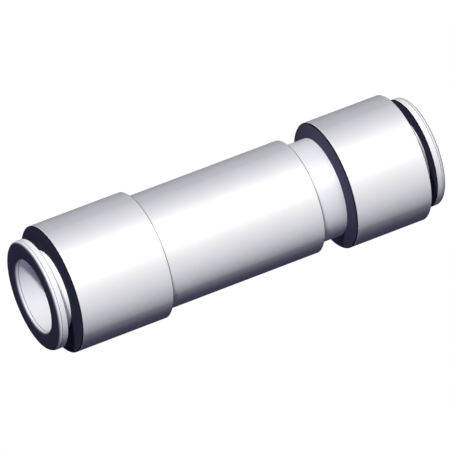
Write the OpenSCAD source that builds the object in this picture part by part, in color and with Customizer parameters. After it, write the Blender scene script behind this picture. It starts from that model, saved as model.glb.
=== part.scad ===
// Quick-connect non-return valve for 8 mm tube.
// It stands on the outlet release ring: the origin is the middle of that ring's face, +Z is the axis
// and points to the inlet. Air passes from the inlet at the top to the outlet at the bottom.
// Everything is in millimetres. The depths in a tube socket are counted from its collar's end face.

/* [Outside] */
// Diameter of the two end collars
collar_d = 14.4; // [14:0.1:16]
// Length of the inlet collar
inlet_collar_l = 11; // [10:0.1:14]
// Length of the outlet collar, without its cone
outlet_collar_l = 9.2; // [8.6:0.1:12]
// Height of the shallow cone behind the outlet collar
collar_cone_h = 0.4; // [0.2:0.05:0.8]
// Diameter of the barrel between the collars
barrel_d = 12.9; // [12.4:0.1:13.6]
// Length of the barrel
barrel_l = 18.8; // [18.2:0.1:24]
// Diameter of the neck between barrel and outlet collar
neck_d = 11.2; // [11:0.1:12]
// Length of that neck
neck_l = 3.1; // [2:0.1:5]
// Broken edge on every turned outside corner
edge = 0.1; // [0.05:0.01:0.15]

/* [Tube socket] */
// Outer diameter of the tube that the sockets take
tube_d = 8; // [7.9:0.02:8.1]
// Gap between tube and bore, on the radius
tube_clear = 0.1; // [0.05:0.01:0.15]
// Length of the plain bore that steadies the tube, up to its stop
socket_l = 7.1; // [5:0.1:8]
// Diameter of the air passage behind each tube stop
passage_d = 6; // [5:0.1:6.6]
// Length of the guide bush
bush_l = 3.4; // [3.3:0.05:4]
// Length of the bush's inner lip, which the release ring's bead catches under
bush_lip_l = 1.2; // [1:0.05:1.4]
// Wall of the guide bush beside the bead
bush_wall = 1; // [0.8:0.05:1.1]
// Length of the ring that backs the grab ring up
support_l = 1.7; // [1.5:0.05:2.2]
// Space left for the tube seal to be squeezed along the axis
seal_room = 0.15; // [0.1:0.05:0.4]

/* [Release ring] */
// Diameter of the ring's flange
flange_d = 12.4; // [11:0.1:13.6]
// Thickness of the flange
flange_t = 1.1; // [0.9:0.05:1.6]
// Length of neck in sight between flange and collar
ring_gap = 1.2; // [1.15:0.05:1.6]
// Wall of the ring's sleeve
ring_wall = 0.35; // [0.3:0.01:0.4]
// Height of the bead that keeps the ring in its bush
bead_h = 0.3; // [0.2:0.05:0.35]
// Length of the bead with its slope
bead_l = 0.8; // [0.6:0.05:0.9]
// Depth of the ring's inner end at rest
nose_depth = 2.5; // [2.3:0.05:2.55]
// Radius on the flange's front edges
flange_round = 0.4; // [0.2:0.05:0.5]
// Slits that let the sleeve spring into the bush
slit_n = 4; // [3:1:6]
// Width of a slit
slit_w = 0.7; // [0.4:0.05:1]

/* [Grab ring] */
// Thickness of the spring steel
grab_t = 0.3; // [0.2:0.02:0.34]
// Teeth round the ring
tooth_n = 12; // [8:1:16]
// Width of the slots between the teeth
tooth_slot_w = 0.5; // [0.3:0.05:0.8]
// Slope of the teeth against the flat rim, in degrees
tooth_slope = 40; // [36:1:44]
// How far the tooth tips reach inside the tube's outer diameter
tooth_bite = 0.1; // [0.05:0.01:0.2]

/* [Valve] */
// Diameter of the outlet body's spigot inside the barrel
spigot_d = 10.3; // [10:0.1:10.5]
// Length of the spigot up to its seal
spigot_l = 3.6; // [3:0.1:4]
// Section of the seal on the spigot's nose
body_seal_w = 0.7; // [0.6:0.05:0.8]
// Inner diameter of the valve sleeve
valve_bore_d = 8.2; // [8:0.05:8.4]
// Length of the valve sleeve
valve_sleeve_l = 8.9; // [8.9:0.05:9.4]
// Diameter of the hole in the valve seat
seat_hole_d = 5.6; // [5.2:0.1:5.8]
// Height of the straight lip over the seat cone
seat_lip_h = 0.3; // [0.2:0.05:0.5]
// Depth of the sleeve's outer seal groove
sleeve_groove_depth = 0.55; // [0.4:0.05:0.6]
// Width of that groove
sleeve_groove_w = 0.8; // [0.7:0.05:1]
// Diameter of the poppet's flange
poppet_d = 7; // [6.8:0.1:7.2]
// Thickness of the poppet's flange at its rim
poppet_rim_t = 1.16; // [1.1:0.02:1.4]
// Diameter of the poppet's stem
stem_d = 2.4; // [2:0.1:2.8]
// Way that the poppet can travel before it meets its stop
poppet_travel = 1.8; // [1.75:0.05:1.9]
// Mean diameter of the seal on the poppet
poppet_seal_d = 6; // [5.9:0.05:6.05]
// Section of the seal on the poppet
poppet_seal_w = 0.72; // [0.64:0.02:0.76]
// Thickness of the stem guide's spokes
guide_t = 0.9; // [0.7:0.05:1.1]
// Thickness of the clip under the stem guide
clip_t = 0.5; // [0.4:0.05:0.6]

/* [Spring] */
// Wire of the return spring
wire_d = 0.4; // [0.3:0.02:0.45]
// Mean diameter of the spring
spring_d = 6; // [5.8:0.05:6.1]
// Turns of the spring
spring_n = 5.5; // [4.5:0.5:6.5]

/* [Fits] */
// Gap of a seated piece, on the radius
seat_fit = 0.02; // [0.01:0.005:0.03]
// Gap of a sliding piece, on the radius
slide_fit = 0.05; // [0.03:0.01:0.08]

/* [Hidden] */

$fn = 96;
arc_steps = 6;

// Heights of the outside
ring_out = flange_t + ring_gap;
z_outlet_face = ring_out;
z_cone = z_outlet_face + outlet_collar_l;
z_neck = z_cone + collar_cone_h;
z_barrel = z_neck + neck_l;
z_step = z_barrel + barrel_l;
z_inlet_face = z_step + inlet_collar_l;

// Radii in the tube socket, from the tube outwards
tube_r = tube_d / 2;
bore_r = tube_r + tube_clear;
ring_r = bore_r + ring_wall;
lip_r = ring_r + slide_fit;
bead_r = ring_r + bead_h;
counter_r = bead_r + 2 * slide_fit;
mouth_r = counter_r + bush_wall + seat_fit;
cartridge_r = mouth_r - seat_fit;
tube_seal_r = (cartridge_r - tube_r) / 2;

// Depths in the tube socket, from the collar's face inwards
grab_depth = bush_l;
support_depth = grab_depth + grab_t;
seal_depth = support_depth + support_l;
socket_depth = seal_depth + 2 * tube_seal_r + seal_room;
stop_depth = socket_depth + socket_l;
bead_depth = bush_lip_l + slide_fit;
slit_depth = 0.8;
lead_in = 0.2;

// Grab ring and the cone that its teeth bend into
tooth_root_r = counter_r + slide_fit;
tooth_tip_r = tube_r - tooth_bite;
tooth_drop = (tooth_root_r - tooth_tip_r) * tan(tooth_slope);
support_cone_r = tooth_root_r + 2 * slide_fit;
support_cone_l = support_l - 0.5;

// Heights and radii of the valve, from the spigot up
passage_r = passage_d / 2;
spigot_r = spigot_d / 2;
chamber_r = spigot_r + slide_fit;
nose_r = chamber_r - body_seal_w;
nose_l = body_seal_w + 0.1;
z_spigot = z_barrel + spigot_l;
z_sleeve = z_spigot + nose_l;
z_web = z_sleeve + valve_sleeve_l;
valve_r = valve_bore_d / 2;
seat_hole_r = seat_hole_d / 2;
z_seat = z_web - seat_lip_h;
groove_r = spigot_r - sleeve_groove_depth;
z_groove = (z_sleeve + z_web + sleeve_groove_w) / 2;
clip_groove_depth = 0.4;
clip_play = 0.05;
z_clip = z_sleeve + 0.6;
z_guide = z_clip + clip_t;
z_spokes = z_guide + guide_t;

// The seat is a 45 degree cone; the poppet's own cone lies poppet_gap below it, along the axis
poppet_gap = 0.14;
poppet_r = poppet_d / 2;
poppet_tip_r = 1.6;
z_rim = seat_z(poppet_r) - poppet_gap;
z_flange = z_rim - poppet_rim_t;
stem_r = stem_d / 2;
hub_r = stem_r + slide_fit + 0.65;
boss_r = (spring_d - wire_d) / 2 - 0.4;
boss_l = 0.6;
z_boss = z_flange - boss_l;
z_hub = z_boss - poppet_travel;
lug_t = 0.5;
lug_w = 1.2;
lug_n = 4;
seal_touch = 0.03;
poppet_seal_r = poppet_seal_w / 2;
z_poppet_seal = seat_z(poppet_seal_d / 2) - (poppet_seal_r + seal_touch) * sqrt(2);

// Height of the seat cone at a radius
function seat_z(r) = z_seat - (r - seat_hole_r);

// A turned outline is a list of [radius, height, corner]. A corner above 0 is cut off by that much,
// one below 0 is rounded to that radius, and one left out stays sharp.
function unit(v) = v / norm(v);
function corner(a, p, b, size) =
    let (u = unit(a - p), v = unit(b - p), half = acos(u * v) / 2)
    size > 0 ? [p + u * size, p + v * size] :
    let (r = -size, mid = p + unit(u + v) * r / sin(half), from = p + u * r / tan(half) - mid,
        to = p + v * r / tan(half) - mid, turn = (from[0] * to[1] - from[1] * to[0]) > 0 ? 1 : -1)
    [for (i = [0:arc_steps]) let (t = turn * (180 - 2 * half) * i / arc_steps)
        mid + [from[0] * cos(t) - from[1] * sin(t), from[0] * sin(t) + from[1] * cos(t)]];
function plain(q) = [q[0], q[1]];
function finished(pts) = [for (i = [0:len(pts) - 1])
    let (p = pts[i], a = pts[(i + len(pts) - 1) % len(pts)], b = pts[(i + 1) % len(pts)])
    each (p[2] == undef ? [plain(p)] : corner(plain(a), plain(p), plain(b), p[2]))];

module turned(pts) {
    rotate_extrude() polygon(finished(pts));
}

// Puts a socket's piece, modelled with its collar's face at 0 and +Z outwards, on either end
module at_inlet() {
    translate([0, 0, z_inlet_face]) children();
}

module at_outlet() {
    translate([0, 0, z_outlet_face]) mirror([0, 0, 1]) children();
}

// A rubber ring that fills the space from radius r_in to r_out, centred on height z
module o_ring(r_in, r_out, z) {
    translate([0, 0, z]) rotate_extrude() translate([(r_in + r_out) / 2, 0])
        circle(r = (r_out - r_in - seat_fit) / 2, $fn = 32);
}

// The one turned piece with the inlet collar, the barrel and the valve chamber
module inlet_body() {
    color("gainsboro") turned([
        [chamber_r, z_barrel, lead_in],
        [barrel_d / 2, z_barrel, edge],
        [barrel_d / 2, z_step],
        [collar_d / 2, z_step, edge],
        [collar_d / 2, z_inlet_face, edge],
        [mouth_r, z_inlet_face],
        [mouth_r, z_inlet_face - socket_depth],
        [bore_r, z_inlet_face - socket_depth, lead_in],
        [bore_r, z_inlet_face - stop_depth],
        [passage_r, z_inlet_face - stop_depth, lead_in],
        [passage_r, z_web],
        [chamber_r, z_web]]);
}

// The turned piece with the outlet collar, its cone, the neck and the spigot that closes the barrel
module outlet_body() {
    color("gainsboro") turned([
        [mouth_r, z_outlet_face],
        [collar_d / 2, z_outlet_face, edge],
        [collar_d / 2, z_cone, edge],
        [neck_d / 2, z_neck],
        [neck_d / 2, z_barrel],
        [spigot_r, z_barrel],
        [spigot_r, z_spigot, lead_in],
        [nose_r, z_spigot],
        [nose_r, z_sleeve, edge],
        [passage_r, z_sleeve],
        [passage_r, z_outlet_face + stop_depth, lead_in],
        [bore_r, z_outlet_face + stop_depth],
        [bore_r, z_outlet_face + socket_depth, lead_in],
        [mouth_r, z_outlet_face + socket_depth]]);
}

module body_seal() {
    color("dimgray") o_ring(nose_r, chamber_r, z_spigot + nose_l / 2);
}

// Bush that guides the release ring and keeps the grab ring down
module guide_bush() {
    turned([
        [lip_r, 0],
        [cartridge_r, 0],
        [cartridge_r, -bush_l, edge],
        [counter_r, -bush_l],
        [counter_r, -bush_lip_l],
        [lip_r, -bush_lip_l]]);
}

// Ring that is pressed in to let the tube go: flange, neck, bead and slit sleeve in one piece
module release_ring() {
    difference() {
        turned([
            [bore_r, ring_out, -flange_round],
            [flange_d / 2, ring_out, -flange_round],
            [flange_d / 2, ring_gap, edge / 2],
            [ring_r, ring_gap],
            [ring_r, -bead_depth],
            [bead_r, -bead_depth],
            [bead_r, -bead_depth - bead_l / 2],
            [ring_r, -bead_depth - bead_l],
            [ring_r, -nose_depth, edge],
            [bore_r, -nose_depth, edge]]);
        for (i = [0:slit_n - 1])
            rotate([0, 0, 360 / slit_n * (i + 0.5)])
                translate([0, -slit_w / 2, -nose_depth - 1])
                    cube([bead_r + 1, slit_w, nose_depth + 1 - slit_depth]);
    }
}

// Spring steel ring whose sloping teeth bite into the tube when it is pulled
module grab_ring() {
    difference() {
        turned([
            [cartridge_r, -grab_depth],
            [tooth_root_r, -grab_depth],
            [tooth_tip_r, -grab_depth - tooth_drop],
            [tooth_tip_r, -support_depth - tooth_drop],
            [tooth_root_r, -support_depth],
            [cartridge_r, -support_depth]]);
        for (i = [0:tooth_n - 1])
            rotate([0, 0, 360 / tooth_n * i])
                translate([0, -tooth_slot_w / 2, -support_depth - tooth_drop - 1])
                    cube([tooth_root_r, tooth_slot_w, tooth_drop + 3]);
    }
}

// Ring between the teeth and the tube seal, hollowed to a cone where the teeth bend
module support_ring() {
    turned([
        [support_cone_r, -support_depth],
        [cartridge_r, -support_depth],
        [cartridge_r, -seal_depth, edge],
        [bore_r + slide_fit, -seal_depth],
        [bore_r + slide_fit, -support_depth - support_cone_l]]);
}

module tube_seal() {
    o_ring(tube_r, mouth_r, -seal_depth - (socket_depth - seal_depth) / 2);
}

// Sleeve with the 45 degree seat, clamped between the spigot's nose and the web in the barrel
module valve_sleeve() {
    color("goldenrod") turned([
        [valve_r, z_sleeve, edge],
        [spigot_r, z_sleeve, edge],
        [spigot_r, z_groove - sleeve_groove_w],
        [groove_r, z_groove - sleeve_groove_w],
        [groove_r, z_groove],
        [spigot_r, z_groove],
        [spigot_r, z_web, edge],
        [seat_hole_r, z_web],
        [seat_hole_r, z_seat],
        [valve_r, seat_z(valve_r)],
        [valve_r, z_guide + clip_play],
        [valve_r + clip_groove_depth, z_guide + clip_play],
        [valve_r + clip_groove_depth, z_clip],
        [valve_r, z_clip]]);
}

module sleeve_seal() {
    color("dimgray") o_ring(groove_r, chamber_r, z_groove - sleeve_groove_w / 2);
}

// Poppet with its cone, its flange with guide lugs, the boss that centres the spring and the stem
module poppet() {
    color("white") difference() {
        union() {
            turned([
                [0, seat_z(poppet_tip_r) - poppet_gap],
                [poppet_tip_r, seat_z(poppet_tip_r) - poppet_gap, -0.3],
                [poppet_r, z_rim],
                [poppet_r, z_flange],
                [boss_r, z_flange],
                [boss_r, z_boss, edge],
                [stem_r, z_boss],
                [stem_r, z_clip - 0.4, lead_in],
                [0, z_clip - 0.4]]);
            for (i = [0:lug_n - 1])
                rotate([0, 0, 360 / lug_n * i])
                    intersection() {
                        translate([boss_r, -lug_w / 2, z_flange]) cube([valve_r, lug_w, lug_t]);
                        cylinder(r = valve_r - 2 * slide_fit, h = z_web);
                    }
        }
        poppet_seal_ring();
    }
}

module poppet_seal_ring() {
    translate([0, 0, z_poppet_seal]) rotate_extrude() translate([poppet_seal_d / 2, 0])
        circle(r = poppet_seal_r, $fn = 32);
}

module poppet_seal() {
    color("dimgray") poppet_seal_ring();
}

// The spring's wire follows a helix: a closed turn at each end and even pitch between them
spring_z0 = z_spokes + slide_fit + wire_d / 2;
spring_z1 = z_flange - slide_fit - wire_d / 2;
spring_steps = 20;
wire_sides = 8;
end_rise = wire_d * 1.05;
pitch = (spring_z1 - spring_z0 - 2 * end_rise) / (spring_n - 2);
function coil_z(t) = spring_z0 + end_rise * min(t, 1) + pitch * min(max(t - 1, 0), spring_n - 2)
    + end_rise * max(t - spring_n + 1, 0);
function coil_ring(t) = [for (k = [0:wire_sides - 1])
    let (a = 360 * t, b = 360 * k / wire_sides, r = spring_d / 2 + wire_d / 2 * cos(b))
    [r * cos(a), r * sin(a), coil_z(t) + wire_d / 2 * sin(b)]];

module return_spring() {
    last = spring_n * spring_steps;
    color("silver") polyhedron(
        points = [for (i = [0:last]) each coil_ring(i / spring_steps)],
        faces = [
            [for (k = [0:wire_sides - 1]) k],
            for (i = [0:last - 1], k = [0:wire_sides - 1])
                let (here = i * wire_sides, next = here + wire_sides, side = (k + 1) % wire_sides)
                [here + k, next + k, next + side, here + side],
            [for (k = [wire_sides - 1:-1:0]) last * wire_sides + k]]);
}

// Spider that carries the stem: a rim, spokes under the spring and a tall hub that stops the poppet
module stem_guide() {
    rim_r = valve_r - slide_fit;
    rim_w = 0.6;
    spoke_w = 1.2;
    color("ivory") difference() {
        union() {
            difference() {
                translate([0, 0, z_guide]) cylinder(r = rim_r, h = guide_t);
                translate([0, 0, z_guide - 1]) cylinder(r = rim_r - rim_w, h = guide_t + 2);
            }
            for (i = [0:lug_n / 2 - 1])
                rotate([0, 0, 90 * i])
                    translate([-rim_r + rim_w / 2, -spoke_w / 2, z_guide])
                        cube([2 * rim_r - rim_w, spoke_w, guide_t]);
            translate([0, 0, z_guide]) cylinder(r = hub_r, h = z_hub - z_guide);
        }
        translate([0, 0, z_guide - 1]) cylinder(r = stem_r + slide_fit, h = z_hub - z_guide + 2);
    }
}

// Open clip in the sleeve's groove, with a holed lug at each end for the pliers
module guide_clip() {
    clip_out_r = valve_r + clip_groove_depth - slide_fit;
    clip_in_r = valve_r - 0.4;
    clip_lug_r = 0.45;
    clip_gap = 50;
    translate([0, 0, z_clip]) color("silver") difference() {
        union() {
            difference() {
                cylinder(r = clip_out_r, h = clip_t);
                translate([0, 0, -1]) cylinder(r = clip_in_r, h = clip_t + 2);
                translate([0, 0, -1]) linear_extrude(clip_t + 2)
                    polygon([[0, 0], for (a = [-clip_gap / 2, 0, clip_gap / 2]) 9 * [cos(a), sin(a)]]);
            }
            for (side = [-1, 1])
                rotate([0, 0, side * (clip_gap / 2 + 4)])
                    translate([clip_in_r, 0, 0]) cylinder(r = clip_lug_r, h = clip_t, $fn = 32);
        }
        for (side = [-1, 1])
            rotate([0, 0, side * (clip_gap / 2 + 4)])
                translate([clip_in_r, 0, -1]) cylinder(r = clip_lug_r / 2, h = clip_t + 2, $fn = 32);
    }
}

inlet_body();
outlet_body();
body_seal();
valve_sleeve();
sleeve_seal();
poppet();
poppet_seal();
return_spring();
stem_guide();
guide_clip();
color("gainsboro") at_inlet() guide_bush();  // inlet_guide_bush
color("gainsboro") at_inlet() release_ring();  // inlet_release_ring
color("silver") at_inlet() grab_ring();  // inlet_grab_ring
color("goldenrod") at_inlet() support_ring();  // inlet_support_ring
color("dimgray") at_inlet() tube_seal();  // inlet_tube_seal
color("gainsboro") at_outlet() guide_bush();  // outlet_guide_bush
color("gainsboro") at_outlet() release_ring();  // outlet_release_ring
color("silver") at_outlet() grab_ring();  // outlet_grab_ring
color("goldenrod") at_outlet() support_ring();  // outlet_support_ring
color("dimgray") at_outlet() tube_seal();  // outlet_tube_seal
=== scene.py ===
import math

import bmesh
import bpy
from mathutils import Matrix, Vector


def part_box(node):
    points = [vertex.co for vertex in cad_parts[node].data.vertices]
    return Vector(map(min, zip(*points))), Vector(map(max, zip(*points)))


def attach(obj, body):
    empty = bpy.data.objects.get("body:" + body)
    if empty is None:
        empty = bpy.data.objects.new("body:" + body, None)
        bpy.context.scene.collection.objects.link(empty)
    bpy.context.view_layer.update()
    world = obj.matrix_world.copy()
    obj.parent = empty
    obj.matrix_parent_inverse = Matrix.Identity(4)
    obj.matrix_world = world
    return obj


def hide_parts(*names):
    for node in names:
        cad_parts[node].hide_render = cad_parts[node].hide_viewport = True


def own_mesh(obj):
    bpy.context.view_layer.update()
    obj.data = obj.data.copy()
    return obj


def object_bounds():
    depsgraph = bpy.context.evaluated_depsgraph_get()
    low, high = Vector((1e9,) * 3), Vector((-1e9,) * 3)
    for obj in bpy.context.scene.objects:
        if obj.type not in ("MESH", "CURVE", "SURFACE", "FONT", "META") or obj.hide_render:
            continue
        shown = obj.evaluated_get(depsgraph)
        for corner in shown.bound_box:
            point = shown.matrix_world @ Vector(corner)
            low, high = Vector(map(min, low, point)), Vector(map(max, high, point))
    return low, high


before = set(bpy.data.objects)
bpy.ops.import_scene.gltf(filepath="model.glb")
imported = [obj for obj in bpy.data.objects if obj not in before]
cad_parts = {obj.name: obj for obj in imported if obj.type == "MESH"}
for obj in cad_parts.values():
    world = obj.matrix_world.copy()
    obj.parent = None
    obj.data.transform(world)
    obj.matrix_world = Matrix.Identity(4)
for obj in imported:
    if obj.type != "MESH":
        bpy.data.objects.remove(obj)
cad_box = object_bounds()

MM = 0.001
MIDDLE = (Vector(cad_box[0]) + Vector(cad_box[1])) / 2

# The photograph's view: its side in pixels, pixels for each millimetre, the roll that lays the valve's
# axis across it, how far the camera looks down, and the pixel where the middle of the valve lies
PHOTO_SIDE = 450
PX_PER_MM = 9.30
AXIS_ROLL = math.radians(110.745)
CAMERA_ELEVATION = math.radians(19.47)
MIDDLE_PIXEL = (226.5, 222.6)

# The lens is so long that the view is nearly parallel, as the photograph's is
LENS = 800.0
SENSOR = 36.0

# The solids' own sizes in millimetres, for the pieces that get finer meshes here: edges and fits
EDGE = 0.1
LEAD_IN = 0.2
SLIDE_FIT = 0.05
SEAT_FIT = 0.02

# The two bodies
BARREL_R = 6.45
NECK_R = 5.6
INLET_COLLAR_L = 11.0
OUTLET_COLLAR_L = 9.2
CONE_H = 0.4
SPIGOT_R = 5.15
SPIGOT_L = 3.6
CHAMBER_R = SPIGOT_R + SLIDE_FIT
BODY_SEAL_W = 0.7
NOSE_R = CHAMBER_R - BODY_SEAL_W
PASSAGE_R = 3.0

# The tube socket, its radii from the tube outwards and its depths from the collar's face inwards
TUBE_R = 4.0
TUBE_CLEAR = 0.1
RING_WALL = 0.35
BEAD_H = 0.3
BUSH_WALL = 1.0
BORE_R = TUBE_R + TUBE_CLEAR
RING_R = BORE_R + RING_WALL
LIP_R = RING_R + SLIDE_FIT
BEAD_R = RING_R + BEAD_H
COUNTER_R = BEAD_R + 2 * SLIDE_FIT
MOUTH_R = COUNTER_R + BUSH_WALL + SEAT_FIT
BUSH_LIP_L = 1.2
BEAD_DEPTH = BUSH_LIP_L + SLIDE_FIT
BEAD_L = 0.8
SLIT_W = 0.7
SLIT_DEPTH = 0.8
SOCKET_DEPTH = 7.4
SOCKET_L = 7.1
STOP_DEPTH = SOCKET_DEPTH + SOCKET_L

# The release ring's flange
FLANGE_T = 1.1
FLANGE_ROUND = 0.4

# The return spring; a closed turn rises by a little more than its wire
WIRE_D = 0.4
SPRING_TURNS = 5.5
CLOSED_TURN_RISE = 1.05 * WIRE_D

# How fine the meshes are, and the angle above which an edge stays sharp
TURNED_STEPS = 192
ROUND_STEPS = 10
WIRE_STEPS = 48
WIRE_SIDES = 16
FLOOR_STEPS = 96
SHARP = math.radians(20)


def low_high(node):
    low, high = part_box(node)
    return [c / MM for c in low], [c / MM for c in high]


def radius_of(node):
    low, high = low_high(node)
    return (high[0] - low[0]) / 2


def heights_of(node):
    low, high = low_high(node)
    return low[2], high[2]


# Materials

# The width of the clouds of tone, and how much darker their dark parts are
CLOUD = 2.5 * MM
CLOUD_TONE = 0.97

# The pitch of the marks that a turning tool leaves
PLATE_MARKS = 0.12 * MM
EDGE_MARKS = 0.15 * MM
BRASS_MARKS = 0.2 * MM

# How deep the plate's marks are, and between which tones and roughnesses the plate varies with them
PLATE_MARK_DEPTH = 0.004 * MM
PLATE_TONES = (0.9, 1.06)
PLATE_ROUGHNESS = (0.38, 0.54)

# Painted shade on the plate's flat faces: its dark tone, and how far the face's direction leans to the
# axis where that painted shade begins and where it is full
FLAT_PAINTED_SHADE = (0.044, 0.045, 0.082)
FLAT_FROM = 0.35
FLAT_FULL = 0.9

# The plate's gloss where it faces the view, and how far it turns away until it has none
GLOSS = 0.9
GLOSS_END = 0.45


class Nodes:
    """A material with its shader and short calls for adding and joining nodes."""

    def __init__(self, name):
        self.material = bpy.data.materials.new(name)
        self.material.use_nodes = True
        self.tree = self.material.node_tree
        self.shader = self.tree.nodes["Principled BSDF"]

    def add(self, kind, **values):
        node = self.tree.nodes.new("ShaderNode" + kind)
        for key, value in values.items():
            setattr(node, key, value)
        return node

    def join(self, source, target):
        self.tree.links.new(source, target)

    def math(self, operation, *values):
        """An operation on values that are numbers or other nodes' outputs."""
        node = self.add("Math", operation=operation)
        for socket, value in zip(node.inputs, values):
            if isinstance(value, (int, float)):
                socket.default_value = value
            else:
                self.join(value, socket)
        return node.outputs[0]

    def ranged(self, value, start, end, low, high, kind="LINEAR"):
        """Low up to where the value is start, high from where it is end, and a slope between them."""
        node = self.add("MapRange", interpolation_type=kind)
        for socket, number in zip(("From Min", "From Max", "To Min", "To Max"), (start, end, low, high)):
            node.inputs[socket].default_value = number
        self.join(value, node.inputs["Value"])
        return node.outputs[0]

    def spread(self, noise, low, high):
        """A value between low and high from a noise, which seldom leaves its middle part."""
        return self.ranged(noise, 0.3, 0.7, low, high)

    def noise(self, vector, size, detail=2.0):
        node = self.add("TexNoise")
        node.inputs["Scale"].default_value = 1 / size
        node.inputs["Detail"].default_value = detail
        self.join(vector, node.inputs["Vector"])
        return node.outputs["Fac"]

    def place(self):
        return self.add("TexCoord").outputs["Object"]

    def mix(self, factor, first, second):
        """A mix of two colours, each written out or another node's output."""
        node = self.add("MixRGB")
        self.join(factor, node.inputs[0])
        for socket, color in zip(node.inputs[1:], (first, second)):
            if isinstance(color, tuple):
                socket.default_value = color
            else:
                self.join(color, socket)
        return node.outputs[0]

    def vary(self, factor, color, low, high):
        """The colour times low up to times high, by the factor."""
        return self.mix(factor, (*[c * low for c in color], 1), (*[c * high for c in color], 1))

    def bump(self, height, distance):
        node = self.add("Bump")
        node.inputs["Strength"].default_value = 1.0
        node.inputs["Distance"].default_value = distance
        self.join(height, node.inputs["Height"])
        self.join(node.outputs[0], self.shader.inputs["Normal"])

    def turning_marks(self, pitch):
        """Marks as a turning tool leaves them, which change along the axis and with the radius only."""
        split = self.add("SeparateXYZ")
        self.join(self.place(), split.inputs[0])
        x, y, z = split.outputs
        square = self.math("ADD", self.math("MULTIPLY", x, x), self.math("MULTIPLY", y, y))
        line = self.add("CombineXYZ")
        self.join(self.math("SQRT", square), line.inputs[0])
        self.join(z, line.inputs[2])
        return self.noise(line.outputs[0], pitch, 3.0)


def shade(name, color, roughness, vary, depth, marks=None, grain=None, metallic=0.0, gloss=0.5):
    """A finish of one colour, its roughness and bump from turning marks or, if not turned, a grain."""
    nodes = Nodes(name)
    nodes.shader.inputs["Metallic"].default_value = metallic
    nodes.shader.inputs["Specular IOR Level"].default_value = gloss
    cloud = nodes.noise(nodes.place(), CLOUD)
    nodes.join(nodes.vary(cloud, color, CLOUD_TONE, 1.0), nodes.shader.inputs["Base Color"])
    texture = nodes.turning_marks(marks) if marks else nodes.noise(nodes.place(), grain)
    rough = nodes.spread(texture, roughness - vary, roughness + vary)
    nodes.join(rough, nodes.shader.inputs["Roughness"])
    nodes.bump(texture, depth)
    return nodes.material


def plate(name, pale, ior, flat_painted_shade=FLAT_PAINTED_SHADE):
    """Satin plate: pale on round sides, painted shade on flat faces, and marks that run round both."""
    nodes = Nodes(name)
    nodes.shader.inputs["IOR"].default_value = ior
    marks = nodes.turning_marks(PLATE_MARKS)
    cloud = nodes.noise(nodes.place(), CLOUD)
    shift = nodes.math("MULTIPLY", nodes.math("ADD", marks, cloud), 0.5)
    # Painted shade: the flatter a face lies across the axis, the more its colour turns to the dark tone
    split = nodes.add("SeparateXYZ")
    nodes.join(nodes.add("NewGeometry").outputs["Normal"], split.inputs[0])
    lean = nodes.math("ABSOLUTE", split.outputs[2])
    flat = nodes.ranged(lean, FLAT_FROM, FLAT_FULL, 0.0, 1.0, "SMOOTHSTEP")
    tones = [nodes.vary(shift, color, *PLATE_TONES) for color in (pale, flat_painted_shade)]
    nodes.join(nodes.mix(flat, *tones), nodes.shader.inputs["Base Color"])
    gloss = nodes.ranged(nodes.add("LayerWeight").outputs["Facing"], 0.0, GLOSS_END, GLOSS, 0.0)
    level = nodes.math("MULTIPLY", gloss, nodes.math("SUBTRACT", 1.0, flat))
    nodes.join(level, nodes.shader.inputs["Specular IOR Level"])
    nodes.join(nodes.spread(marks, *PLATE_ROUGHNESS), nodes.shader.inputs["Roughness"])
    nodes.bump(marks, PLATE_MARK_DEPTH)
    return nodes.material


satin = plate("satin_plate", (0.50, 0.497, 0.54), 5.0)
bright = plate("bright_plate", (0.82, 0.82, 0.85), 1.4)
# Painted light: a paler copy of the plate that brightens the release ring's bore and its neck under the
# flange
painted_lit = plate("painted_lit_plate", (0.95, 0.95, 0.96), 1.3)
# Painted light: a paler, less glossy copy of the plate that keeps the outlet's neck bright beside the
# cone, with a lighter painted shade on the cone
neck_plate = plate("neck_plate", (0.69, 0.69, 0.73), 3.1, (0.062, 0.062, 0.105))
# Painted shade: near-black lines at edges and on the walls between pieces
painted_shade_line = shade("painted_shade_edge", (0.012, 0.012, 0.018), 0.5, 0.05, 0.001 * MM, EDGE_MARKS, gloss=0.0)
# Painted highlight: a pale line beside the upper edges
painted_highlight_edge = shade("painted_highlight_edge", (0.85, 0.85, 0.87), 0.5, 0.05, 0.001 * MM, EDGE_MARKS, gloss=0.2)
brass = shade("bare_brass", (0.78, 0.60, 0.30), 0.3, 0.08, 0.003 * MM, BRASS_MARKS, metallic=1.0)
steel = shade("spring_steel", (0.62, 0.62, 0.63), 0.28, 0.06, 0.001 * MM, grain=0.1 * MM, metallic=1.0)
rubber = shade("seal_rubber", (0.03, 0.03, 0.032), 0.6, 0.08, 0.003 * MM, grain=0.08 * MM)
acetal = shade("acetal", (0.86, 0.85, 0.81), 0.45, 0.06, 0.002 * MM, grain=0.1 * MM)

CAD_FINISH = {"valve_sleeve": brass, "poppet": acetal, "stem_guide": acetal, "guide_clip": steel}
for seal in ("body_seal", "sleeve_seal", "poppet_seal"):
    CAD_FINISH[seal] = rubber
for end in ("inlet", "outlet"):
    CAD_FINISH[end + "_grab_ring"] = steel
    CAD_FINISH[end + "_support_ring"] = brass
    CAD_FINISH[end + "_tube_seal"] = rubber
for node, finish in CAD_FINISH.items():
    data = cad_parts[node].data
    data.materials.clear()
    data.materials.append(finish)


# Meshes

def circle(bm, radius, height, steps):
    """A ring of vertices round the axis."""
    return [bm.verts.new((radius * math.cos(a), radius * math.sin(a), height))
            for a in (2 * math.pi * k / steps for k in range(steps))]


def bridge(bm, low, high, zone=0, smooth=True):
    """The faces between two rings of vertices."""
    count = len(low)
    for k in range(count):
        n = (k + 1) % count
        face = bm.faces.new((low[k], low[n], high[n], high[k]))
        face.material_index = zone
        face.smooth = smooth


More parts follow.
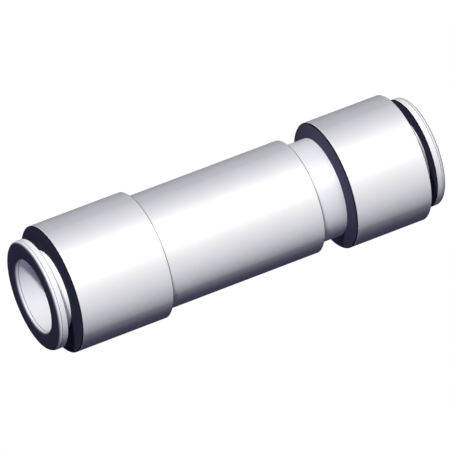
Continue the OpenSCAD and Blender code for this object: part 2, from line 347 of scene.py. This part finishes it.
def object_from(bm, name, materials=()):
    mesh = bpy.data.meshes.new(name)
    bm.to_mesh(mesh)
    bm.free()
    for material in materials:
        mesh.materials.append(material)
    made = bpy.data.objects.new(name, mesh)
    bpy.context.collection.objects.link(made)
    return made


# Turned pieces

# The zones of a turned piece's surface, each the place of its material in the mesh: plate, painted shade
# on edge lines and on walls where two pieces meet, painted light in the release ring's bore and neck,
# painted highlight beside upper edges, and the outlet's cone and neck; and the width of the painted
# highlight and shade lines beside an edge
PLATE, PAINTED_SHADE, PAINTED_LIT, PAINTED_HIGHLIGHT, NECK = range(5)
LINE_BAND = 0.045


def corner(radius, height, size=0, zone=PLATE):
    """A corner of an outline: its place, its size and the zone of the surface up to the next corner.

    A size above 0 is a straight break, one below 0 a round, and 0 leaves the corner sharp."""
    return Vector((radius, height)), size, zone


def upright(side):
    return abs(side.y) > 0.5


def edge_break(here, back, on, size, zone):
    """A straight break at a corner, whose sides run back to the corner before and on to the next.

    Its face is painted dark as a shade line, and an upper one, with a side that runs straight down, has a
    painted highlight line on that side. A lead-in has neither."""
    small_break = size <= EDGE
    upper = small_break and min(back.y, on.y) < -0.99
    points = []
    if upper and upright(back):
        points.append((here + back * (size + LINE_BAND), PAINTED_HIGHLIGHT))
    points.append((here + back * size, PAINTED_SHADE if small_break else PLATE))
    if upper and upright(on):
        points.append((here + on * size, PAINTED_HIGHLIGHT))
        points.append((here + on * (size + LINE_BAND), zone))
    else:
        points.append((here + on * size, zone))
    return points


def round_corner(here, back, on, radius, zone):
    """A round at a corner, with a painted shade line on an upright side where the round ends."""
    half = back.angle(on) / 2
    middle = here + (back + on).normalized() * (radius / math.sin(half))
    start = here + back * (radius / math.tan(half)) - middle
    end = here + on * (radius / math.tan(half)) - middle
    turn = math.copysign(math.pi - 2 * half, start.x * end.y - start.y * end.x)
    points = []
    if upright(back):
        points.append((middle + start + back * LINE_BAND, PAINTED_SHADE))
    for k in range(ROUND_STEPS):
        t = turn * k / ROUND_STEPS
        spot = Vector((start.x * math.cos(t) - start.y * math.sin(t),
                       start.x * math.sin(t) + start.y * math.cos(t)))
        points.append((middle + spot, PLATE))
    points.append((middle + end, PAINTED_SHADE if upright(on) else zone))
    if upright(on):
        points.append((middle + end + on * LINE_BAND, zone))
    return points


def outline_of(corners):
    """The points of an outline, each with the zone of the face after it."""
    corners = [corner(*values) for values in corners]
    points = []
    for i, (here, size, zone) in enumerate(corners):
        back = (corners[i - 1][0] - here).normalized()
        on = (corners[(i + 1) % len(corners)][0] - here).normalized()
        if size > 0:
            points += edge_break(here, back, on, size, zone)
        elif size < 0:
            points += round_corner(here, back, on, -size, zone)
        else:
            points.append((here, zone))
    return points


def turned(name, corners, body, node, finish):
    """A piece turned from its outline, in place of the CAD node."""
    points = outline_of(corners)
    bm = bmesh.new()
    rings = [circle(bm, spot.x * MM, spot.y * MM, TURNED_STEPS) for spot, _ in points]
    for (_, zone), low, high in zip(points, rings, rings[1:] + rings[:1]):
        bridge(bm, low, high, zone)
    bmesh.ops.recalc_face_normals(bm, faces=bm.faces)
    for edge in bm.edges:
        edge.smooth = edge.calc_face_angle(0) < SHARP
    piece = object_from(bm, name, (finish, painted_shade_line, painted_lit, painted_highlight_edge, neck_plate))
    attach(piece, body)
    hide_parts(node)
    return piece


# Radii, heights and depths worked out from the solids' boxes
COLLAR_R = radius_of("inlet_body")
FLANGE_R = radius_of("inlet_release_ring")
CARTRIDGE_R = radius_of("inlet_guide_bush")
Z_BARREL, Z_INLET_FACE = heights_of("inlet_body")
Z_OUTLET_FACE, Z_SLEEVE = heights_of("outlet_body")
Z_WEB = heights_of("valve_sleeve")[1]
Z_STEP = Z_INLET_FACE - INLET_COLLAR_L
Z_CONE = Z_OUTLET_FACE + OUTLET_COLLAR_L
Z_NECK = Z_CONE + CONE_H
Z_SPIGOT = Z_BARREL + SPIGOT_L
NOSE_DEPTH = Z_INLET_FACE - heights_of("inlet_release_ring")[0]
BUSH_L = heights_of("inlet_guide_bush")[1] - heights_of("inlet_guide_bush")[0]

# The valve stands on the outlet ring, so its body's face is as high as a ring stands out
RING_OUT = Z_OUTLET_FACE

turned("inlet_body_turned", [
    [CHAMBER_R, Z_BARREL, LEAD_IN],
    [BARREL_R, Z_BARREL, EDGE],
    [BARREL_R, Z_STEP],
    [COLLAR_R, Z_STEP, EDGE],
    [COLLAR_R, Z_INLET_FACE, EDGE],
    [MOUTH_R, Z_INLET_FACE, 0, PAINTED_SHADE],
    [MOUTH_R, Z_INLET_FACE - SOCKET_DEPTH],
    [BORE_R, Z_INLET_FACE - SOCKET_DEPTH, LEAD_IN],
    [BORE_R, Z_INLET_FACE - STOP_DEPTH],
    [PASSAGE_R, Z_INLET_FACE - STOP_DEPTH, LEAD_IN],
    [PASSAGE_R, Z_WEB],
    [CHAMBER_R, Z_WEB],
], "housing", "inlet_body", satin)

turned("outlet_body_turned", [
    [MOUTH_R, Z_OUTLET_FACE],
    [COLLAR_R, Z_OUTLET_FACE, EDGE],
    [COLLAR_R, Z_CONE, EDGE, NECK],
    [NECK_R, Z_NECK, 0, NECK],
    [NECK_R, Z_BARREL],
    [SPIGOT_R, Z_BARREL],
    [SPIGOT_R, Z_SPIGOT, LEAD_IN],
    [NOSE_R, Z_SPIGOT],
    [NOSE_R, Z_SLEEVE, EDGE],
    [PASSAGE_R, Z_SLEEVE],
    [PASSAGE_R, Z_OUTLET_FACE + STOP_DEPTH, LEAD_IN],
    [BORE_R, Z_OUTLET_FACE + STOP_DEPTH],
    [BORE_R, Z_OUTLET_FACE + SOCKET_DEPTH, LEAD_IN],
    [MOUTH_R, Z_OUTLET_FACE + SOCKET_DEPTH, 0, PAINTED_SHADE],
], "housing", "outlet_body", satin)


def cut_slits(piece, z_low, z_high):
    """Cuts two crossed slots, which make the four slits of a ring's sleeve."""
    across = 4 * BORE_R
    bm = bmesh.new()
    for angle in (45, 135):
        spin = Matrix.Rotation(math.radians(angle), 4, "Z")
        move = Matrix.Translation((0, 0, (z_low + z_high) / 2 * MM))
        size = Matrix.Diagonal((across * MM, SLIT_W * MM, (z_high - z_low) * MM, 1))
        bmesh.ops.create_cube(bm, size=1, matrix=move @ spin @ size)
    cutter = object_from(bm, "slit_cutter")
    cut = piece.modifiers.new("slits", "BOOLEAN")
    cut.operation = "DIFFERENCE"
    cut.solver = "EXACT"
    cut.use_self = True
    cut.object = cutter
    bpy.context.view_layer.update()
    done = bpy.data.meshes.new_from_object(piece.evaluated_get(bpy.context.evaluated_depsgraph_get()))
    piece.modifiers.remove(cut)
    piece.data = done
    bpy.data.objects.remove(cutter)


def push_in_end(end, z_face, way):
    """The release ring and guide bush of one end; way is 1 where the tube leaves upwards, -1 downwards."""
    def at(points):
        return [[r, z_face + way * z, *rest] for r, z, *rest in points]

    ring = turned(end + "_release_ring_turned", at([
        [BORE_R, RING_OUT, -FLANGE_ROUND],
        [FLANGE_R, RING_OUT, -FLANGE_ROUND],
        [FLANGE_R, RING_OUT - FLANGE_T, EDGE / 2],
        [RING_R, RING_OUT - FLANGE_T, 0, PAINTED_LIT],
        [RING_R, -BEAD_DEPTH],
        [BEAD_R, -BEAD_DEPTH],
        [BEAD_R, -BEAD_DEPTH - BEAD_L / 2],
        [RING_R, -BEAD_DEPTH - BEAD_L],
        [RING_R, -NOSE_DEPTH, EDGE],
        [BORE_R, -NOSE_DEPTH, EDGE, PAINTED_LIT],
    ]), end + "_ring", end + "_release_ring", bright)
    past_nose = NOSE_DEPTH + 1
    inner, outer = z_face - way * SLIT_DEPTH, z_face - way * past_nose
    cut_slits(ring, min(inner, outer), max(inner, outer))
    turned(end + "_guide_bush_turned", at([
        [LIP_R, 0],
        [CARTRIDGE_R, 0, 0, PAINTED_SHADE],
        [CARTRIDGE_R, -BUSH_L, EDGE],
        [COUNTER_R, -BUSH_L],
        [COUNTER_R, -BUSH_LIP_L],
        [LIP_R, -BUSH_LIP_L],
    ]), "housing", end + "_guide_bush", satin)


push_in_end("inlet", Z_INLET_FACE, 1)
push_in_end("outlet", Z_OUTLET_FACE, -1)


# Return spring

def coil_spring():
    """The spring's wire with a closed turn at each end, finer than the solid that it replaces."""
    mean_r = radius_of("return_spring") - WIRE_D / 2
    z0, z1 = heights_of("return_spring")
    open_turns = SPRING_TURNS - 2
    pitch = (z1 - z0 - WIRE_D - 2 * CLOSED_TURN_RISE) / open_turns
    bm = bmesh.new()
    rings = []
    for i in range(int(SPRING_TURNS * WIRE_STEPS) + 1):
        t = i / WIRE_STEPS
        a = 2 * math.pi * t
        height = (z0 + WIRE_D / 2 + CLOSED_TURN_RISE * min(t, 1) + pitch * min(max(t - 1, 0), open_turns)
                  + CLOSED_TURN_RISE * max(t - SPRING_TURNS + 1, 0))
        ring = []
        for k in range(WIRE_SIDES):
            b = 2 * math.pi * k / WIRE_SIDES
            r = mean_r + WIRE_D / 2 * math.cos(b)
            ring.append(bm.verts.new((r * MM * math.cos(a), r * MM * math.sin(a),
                                      (height + WIRE_D / 2 * math.sin(b)) * MM)))
        rings.append(ring)
    for before, after in zip(rings, rings[1:]):
        bridge(bm, before, after)
    bm.faces.new(rings[0])
    bm.faces.new(rings[-1])
    bmesh.ops.recalc_face_normals(bm, faces=bm.faces)
    coil = object_from(bm, "return_spring_coil", (steel,))
    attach(coil, "housing")
    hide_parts("return_spring")
    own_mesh(coil)


coil_spring()


# Floor

# The floor lies a hair below the valve; radius and height in metres of its rim, from the middle outwards
FLOOR_GAP = 0.01 * MM
FLOOR_RIM = ((1.1, -FLOOR_GAP), (1.2, 0.02), (1.25, 0.07), (1.26, 0.14))

# The floor's own tone, the white that the camera and mirrors see, and that white's share
FLOOR_TONE = 0.15
FLOOR_GLOW = 1.08
GLOW_SHARE = 0.93


def floor_material():
    """Pale grey that takes the valve's shadow, seen as white by the camera and in gloss and glass."""
    nodes = Nodes("floor")
    nodes.tree.nodes.remove(nodes.shader)
    diffuse = nodes.add("BsdfDiffuse")
    diffuse.inputs["Color"].default_value = (FLOOR_TONE, FLOOR_TONE, FLOOR_TONE, 1)
    glow = nodes.add("Emission")
    glow.inputs["Strength"].default_value = FLOOR_GLOW
    path = nodes.add("LightPath")
    seen = nodes.math("ADD", path.outputs["Is Camera Ray"], path.outputs["Is Glossy Ray"])
    seen = nodes.math("ADD", seen, path.outputs["Is Transmission Ray"])
    mix = nodes.add("MixShader")
    nodes.join(nodes.math("MULTIPLY", seen, GLOW_SHARE), mix.inputs[0])
    nodes.join(diffuse.outputs[0], mix.inputs[1])
    nodes.join(glow.outputs[0], mix.inputs[2])
    nodes.join(mix.outputs[0], nodes.tree.nodes["Material Output"].inputs["Surface"])
    return nodes.material


def make_floor():
    """A round white floor that curves up into a low rim."""
    bm = bmesh.new()
    rings = [circle(bm, radius, height, FLOOR_STEPS) for radius, height in FLOOR_RIM]
    bm.faces.new(rings[0])
    for low, high in zip(rings, rings[1:]):
        bridge(bm, low, high, smooth=False)
    object_from(bm, "floor", (floor_material(),))


make_floor()


# Light

def lamp(name, azimuth, elevation, width, height, power, color=(1, 1, 1)):
    """A soft lamp a metre from the valve, on the side where a camera at that azimuth would stand."""
    light = bpy.data.lights.new(name, "AREA")
    light.shape = "RECTANGLE"
    light.size = width
    light.size_y = height
    light.energy = power
    light.color = color
    holder = bpy.data.objects.new(name, light)
    bpy.context.collection.objects.link(holder)
    a, e = math.radians(azimuth), math.radians(elevation)
    away = Vector((math.sin(a) * math.cos(e), -math.cos(a) * math.cos(e), math.sin(e)))
    holder.location = MIDDLE + away
    holder.rotation_euler = away.to_track_quat("Z", "Y").to_euler()
    holder.visible_camera = False


lamp("key", 25, 21, 0.12, 0.05, 8.4)
lamp("low", 22, 3, 0.35, 0.05, 3.5)
lamp("fill", -40, 28, 0.3, 0.3, 1.0, (0.55, 0.56, 1.0))
lamp("back", 180, 5, 0.3, 0.1, 6.5)

world = bpy.data.worlds.new("studio")
bpy.context.scene.world = world
world.use_nodes = True
world.node_tree.nodes["Background"].inputs["Color"].default_value = (0.02, 0.021, 0.045, 1)


# Camera

def make_camera():
    """The photograph's camera, moved sideways until the valve's middle lies on its pixel."""
    data = bpy.data.cameras.new("camera")
    data.sensor_width = SENSOR
    data.lens = LENS
    data.clip_start = 0.01
    data.clip_end = 10
    camera = bpy.data.objects.new("camera", data)
    bpy.context.collection.objects.link(camera)
    e = CAMERA_ELEVATION
    right = Vector((1, 0, 0))
    up = Vector((0, math.sin(e), math.cos(e)))
    back = Vector((0, -math.cos(e), math.sin(e)))
    rolled_right = right * math.cos(AXIS_ROLL) - up * math.sin(AXIS_ROLL)
    rolled_up = right * math.sin(AXIS_ROLL) + up * math.cos(AXIS_ROLL)
    half = (PHOTO_SIDE - 1) / 2
    px = MM / PX_PER_MM
    aside, below = MIDDLE_PIXEL[0] - half, MIDDLE_PIXEL[1] - half
    target = MIDDLE - rolled_right * aside * px + rolled_up * below * px
    distance = PHOTO_SIDE * px * LENS / SENSOR
    rotation = Matrix((rolled_right, rolled_up, back)).transposed()
    camera.matrix_world = Matrix.Translation(target + back * distance) @ rotation.to_4x4()
    bpy.context.scene.camera = camera


make_camera()
bpy.context.scene.view_settings.view_transform = "Standard"
